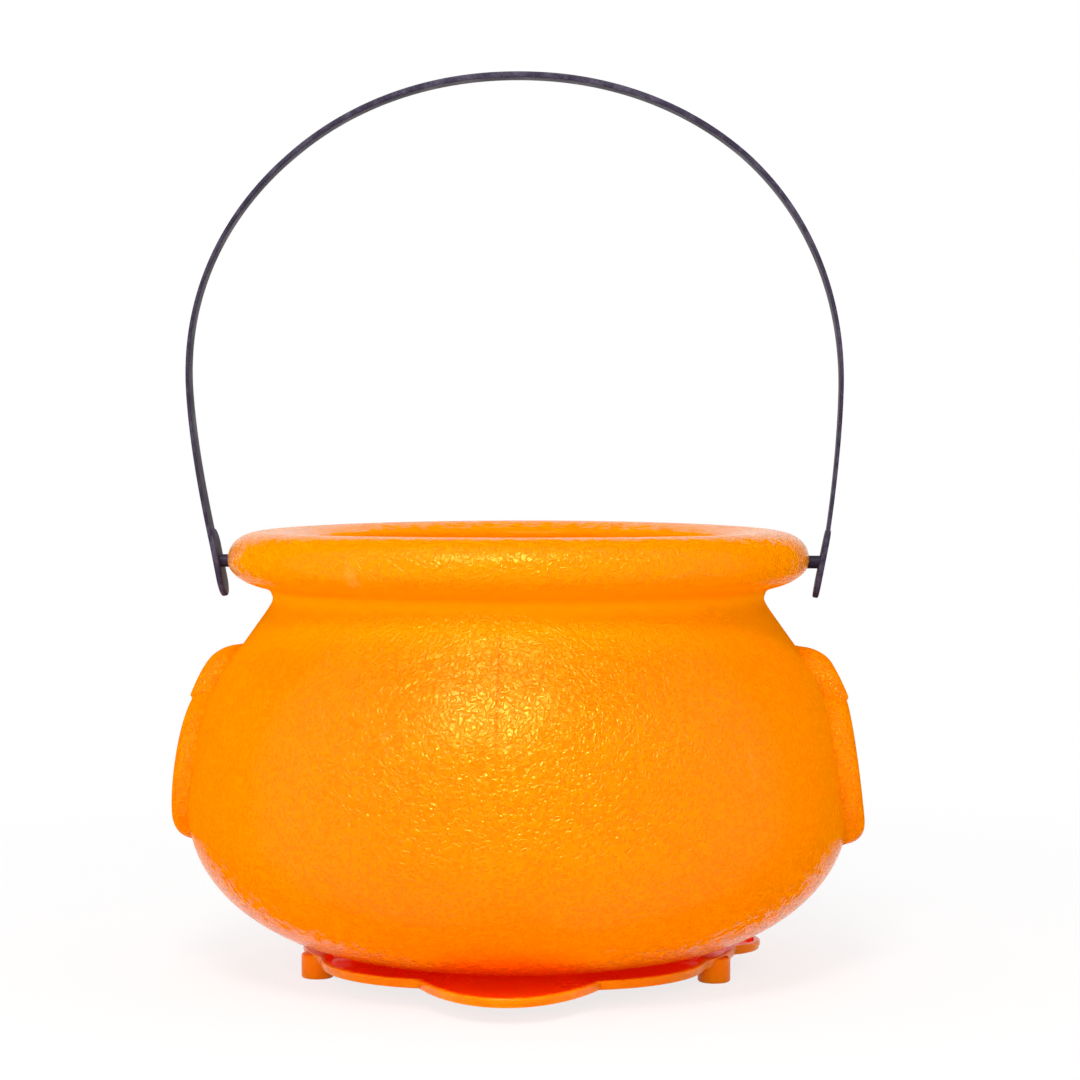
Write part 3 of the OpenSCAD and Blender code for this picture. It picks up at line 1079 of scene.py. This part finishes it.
@dataclass
class BaseDish:
    """Lobed dish under the pot, with a banded lip and peg feet."""

    middle_r: float = 68.0
    middle_back: float = 8.0
    front_reach: float = 92.5
    front_w: float = 73.0
    front_turn: float = 1.3
    side_reach: float = 70.0
    side_w: float = 82.0
    side_angle: float = 38.0
    ear_reach: float = 77.0
    ear_w: float = 33.0
    ear_angles: Span = (-110.0, 104.0)
    floor_t: float = 1.2
    dish_h: float = 1.6
    dish_wall: float = 1.6
    dish_lip: float = 0.4
    lip_band: float = 1.6
    lip_edge: float = 0.5
    peg_r: float = 5.0
    peg_h: float = 5.2
    peg_reach: float = 63.0
    peg_angle: float = 75.0
    peg_top: float = 7.6
    peg_edge: float = 0.8
    locator_r: float = 29.8
    locator_h: float = 1.8
    plain_r: float = 38.0
    fillet: float = 0.3
    bevel: float = 0.2
    finish: SmoothPlastic = field(default_factory=SmoothPlastic)

    def rounds(self) -> list[tuple[float, float, float]]:
        """List the rounds of the outline behind the front lip.

        Returns:
            Bearing, distance from the axis and radius of each round.
        """
        found = [(math.pi, self.middle_back, self.middle_r)]
        for angle in (-self.side_angle, self.side_angle):
            found.append((math.radians(angle), self.side_reach - self.side_w / 2, self.side_w / 2))
        for angle in self.ear_angles:
            found.append((math.radians(angle), self.ear_reach - self.ear_w / 2, self.ear_w / 2))
        return found

    def reaches(self, bearings: np.ndarray, inset: float) -> np.ndarray:
        """Distance from the axis to the front lip and to the far side of every round, one row each.

        Args:
            bearings: Bearings from the front.
            inset: How far the rounds are drawn in.

        Returns:
            Distance at each bearing, or zero where a round isn't met.
        """
        ahead = bearings - math.radians(self.front_turn)
        lip = np.hypot(np.sin(ahead) / (self.front_w / 2 - inset), np.cos(ahead) / (self.front_reach - inset))
        rows = [np.where(np.cos(ahead) > 0, 1 / lip, 0)]
        for bearing, centre, radius in self.rounds():
            off = bearings - bearing
            chord = (radius - inset) ** 2 - (centre * np.sin(off)) ** 2
            hit = centre * np.cos(off) + np.sqrt(np.maximum(chord, 0))
            rows.append(np.where(chord > 0, np.maximum(hit, 0), 0))
        return np.array(rows)

    def reach(self, bearings: np.ndarray, inset: float) -> np.ndarray:
        """Distance from the axis to the outline, drawn in by inset."""
        return self.reaches(bearings, inset).max(axis=0)

    def bearings(self) -> np.ndarray:
        """Choose where the outline has points.

        Returns:
            Bearings from the front, with one in each of the outline's corners.
        """
        dense = np.linspace(-math.pi, math.pi, 14401)
        owner = self.reaches(dense, 0).argmax(axis=0)
        cuts = dense[1:][np.diff(owner) != 0]
        ends = np.concatenate([cuts, [cuts[0] + 2 * math.pi]])
        found = []
        for start, stop in zip(ends[:-1], ends[1:]):
            count = max(8, int((stop - start) / 0.012))
            found.append(np.linspace(start, stop, count, endpoint=False))
        return np.concatenate(found)

    def tray(self) -> Shape:
        """Build the skin of the dish.

        Returns:
            The skin, from the middle of the underside round the lip to the middle of the floor.
        """
        bearings = self.bearings()
        top = self.peg_h + self.floor_t + self.dish_h
        floor = self.peg_h + self.floor_t
        under_lip = top - self.lip_band
        edge = self.lip_edge
        inner = self.dish_lip + self.dish_wall
        turn = [i / 4 * math.pi / 2 for i in range(5)]
        bends = [(edge * math.sin(a), edge * math.cos(a)) for a in turn]
        sole = [(self.dish_lip + edge - sine, self.peg_h + edge - cosine) for sine, cosine in bends]
        bead = [(edge - cosine, top - edge + sine) for sine, cosine in bends]
        shoulder = [(inner - edge + sine, top - edge + cosine) for sine, cosine in bends]
        fillet, bevel, plain = self.fillet, self.bevel, self.plain_r
        band = [*sole, (self.dish_lip, under_lip), (0.05, under_lip + 0.05), *bead, *shoulder,
                (inner, floor + fillet), (inner + fillet, floor)]
        ring = self.locator_r
        thin = ring - self.dish_wall
        up = floor + self.locator_h
        circles_under = [(0, self.peg_h), (20, self.peg_h), (plain, self.peg_h)]
        circles_floor = [
            (plain, floor), (ring + fillet, floor), (ring, floor + fillet), (ring, up - bevel),
            (ring - bevel, up), (thin + bevel, up), (thin, up - bevel), (thin, floor + fillet),
            (thin - fillet, floor), (12, floor), (0, floor)]
        rows = []

        def add(distance: np.ndarray, z: float) -> None:
            """Add one row round the dish."""
            flat = np.stack([distance * np.sin(bearings), -distance * np.cos(bearings)], axis=1)
            rows.append(np.column_stack([flat, np.full(len(bearings), z)]))

        for radius, z in circles_under:
            add(np.full(len(bearings), radius), z)
        for inset, z in band:
            add(self.reach(bearings, inset), z)
        for radius, z in circles_floor:
            add(np.full(len(bearings), radius), z)
        return ring_grid(np.array(rows))

    def pegs(self) -> list[Shape]:
        """Make the peg feet.

        Returns:
            One foot at each side towards the front and one at the back.
        """
        shapes = []
        for angle in (-self.peg_angle, self.peg_angle, 180):
            bearing = math.radians(angle)
            foot = (self.peg_reach * math.sin(bearing), -self.peg_reach * math.cos(bearing), 0)
            shapes.append(lathe(rounded_drum(self.peg_r, self.peg_top, self.peg_edge), foot, (0, 0, 1), 56))
        return shapes

    def build(self) -> bpy.types.Object:
        """Make the dish with its feet and dress it.

        Returns:
            The finished dish.
        """
        dish = self.tray().to_object("base_dish_lobed")
        combine(dish, [peg.to_object("peg_foot") for peg in self.pegs()], Join.ADD)
        dish.data.set_sharp_from_angle(angle=math.radians(50))
        place = corners(dish)
        reach = self.reach(np.arctan2(place[:, 0], -place[:, 1]), self.dish_lip + self.dish_wall)
        floor = self.peg_h + self.floor_t
        inside = np.hypot(place[:, 0], place[:, 1]) < reach + 0.05
        height = place[:, 2]
        # Where the floor gets painted shade and a painted red glow: inside the lip and low in the dish
        low = (1 - ramp(height, floor + 0.4, floor + self.dish_h)) * (height > floor - 0.1)
        mark(dish, "sunk", inside * low)
        return dress(dish, self.finish.material(), Body.POT, "base_dish")


def dress(piece: bpy.types.Object, finish: bpy.types.Material, body: Body,
          node: str) -> bpy.types.Object:
    """Give a piece its finish and tie it to the frame.

    Args:
        piece: Object to dress.
        finish: Material that it gets.
        body: Body that it rides on.
        node: Node of the frame that it replaces.

    Returns:
        The same object.
    """
    piece.data.materials.clear()
    piece.data.materials.append(finish)
    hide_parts(node)
    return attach(piece, body.value)


# Studio


@dataclass(frozen=True)
class Lamp:
    """Square soft lamp that faces the pot.

    Attributes:
        name: Name of the lamp.
        place: Position in metres.
        power: Power in watts.
        size: Side of the square in metres.
        mirrored: Whether it shows in glossy surfaces.
        lighting: Whether it lights matt surfaces.
    """

    name: str
    place: Point
    power: float
    size: float
    mirrored: bool = True
    lighting: bool = True

    def hang(self, aim: Vector) -> bpy.types.Object:
        """Put up the lamp.

        Args:
            aim: Point that it faces.

        Returns:
            The lamp's object.
        """
        light = bpy.data.lights.new(self.name, "AREA")
        light.energy = self.power
        light.size = self.size
        lamp = bpy.data.objects.new(self.name, light)
        lamp.visible_glossy = self.mirrored
        lamp.visible_diffuse = self.lighting
        bpy.context.collection.objects.link(lamp)
        lamp.location = self.place
        lamp.rotation_euler = (aim - lamp.location).to_track_quat("-Z", "Y").to_euler()
        return lamp


@dataclass
class Studio:
    """Pale floor, soft lamps, white surroundings and the camera."""

    floor_half: float = 6.0
    ambient: float = 0.75
    camera_azimuth: float = 3.8
    camera_distance: float = 0.976
    camera_height: float = 0.1716
    aim_right: float = 0.00666
    aim_height: float = 0.1341
    lens: float = 105.0
    sensor: float = 36.0
    lamps: tuple[Lamp, ...] = (
        Lamp("key_softbox", (-0.04, -0.95, 1.06), 8.6, 0.36, mirrored=False),
        Lamp("glint_softbox", (-0.14, -0.92, 1.12), 100.0, 0.72, lighting=False),
        Lamp("front_fill", (-0.3, -1.75, 0.22), 19.5, 1.0, mirrored=False),
    )
    floor_finish: PaleFloor = field(default_factory=PaleFloor)

    def floor(self) -> bpy.types.Object:
        """Lay the floor.

        Returns:
            The floor's object.
        """
        half = self.floor_half
        mesh = bpy.data.meshes.new("studio_floor")
        around = [(-half, -half, 0), (half, -half, 0), (half, half, 0), (-half, half, 0)]
        mesh.from_pydata(around, [], [[0, 1, 2, 3]])
        mesh.materials.append(self.floor_finish.material())
        floor = bpy.data.objects.new("studio_floor", mesh)
        bpy.context.collection.objects.link(floor)
        return floor

    def surroundings(self) -> None:
        """Make the world white to look at, and softer as a light."""
        world = bpy.data.worlds.new("studio_white")
        bpy.context.scene.world = world
        world.use_nodes = True
        nodes, links = world.node_tree.nodes, world.node_tree.links
        seen = nodes["Background"]
        seen.inputs["Color"].default_value = (1, 1, 1, 1)
        lit = nodes.new("ShaderNodeBackground")
        lit.inputs["Color"].default_value = (1, 1, 1, 1)
        lit.inputs["Strength"].default_value = self.ambient
        rays = nodes.new("ShaderNodeLightPath")
        share = rays.outputs["Is Camera Ray"]
        for name in ("Is Glossy Ray", "Is Transmission Ray"):
            either = nodes.new("ShaderNodeMath")
            either.operation = "MAXIMUM"
            links.new(share, either.inputs[0])
            links.new(rays.outputs[name], either.inputs[1])
            share = either.outputs["Value"]
        mix = nodes.new("ShaderNodeMixShader")
        links.new(share, mix.inputs["Fac"])
        links.new(lit.outputs["Background"], mix.inputs[1])
        links.new(seen.outputs["Background"], mix.inputs[2])
        links.new(mix.outputs["Shader"], nodes["World Output"].inputs["Surface"])

    def camera(self) -> bpy.types.Object:
        """Set up the camera at the photograph's viewing angle.

        Returns:
            The camera's object.
        """
        turn = math.radians(self.camera_azimuth)
        data = bpy.data.cameras.new("camera")
        data.lens = self.lens
        data.sensor_width = self.sensor
        camera = bpy.data.objects.new("camera", data)
        bpy.context.collection.objects.link(camera)
        camera.location = (self.camera_distance * math.sin(turn), -self.camera_distance * math.cos(turn),
                           self.camera_height)
        aim = Vector((self.aim_right * math.cos(turn), self.aim_right * math.sin(turn), self.aim_height))
        camera.rotation_euler = (aim - camera.location).to_track_quat("-Z", "Y").to_euler()
        bpy.context.scene.camera = camera
        return camera

    def build(self) -> None:
        """Set up the whole studio."""
        bpy.context.scene.view_settings.view_transform = "Standard"
        self.floor()
        self.surroundings()
        for lamp in self.lamps:
            lamp.hang(Vector((0, 0, self.aim_height)))
        self.camera()


def main() -> None:
    """Build every piece and the studio."""
    logging.basicConfig(level=logging.INFO, format="%(name)s: %(message)s")
    for maker in (PotShell(), BailHandle(), BaseDish()):
        piece = maker.build()
    Studio().build()


if __name__ == "__main__":
    main()
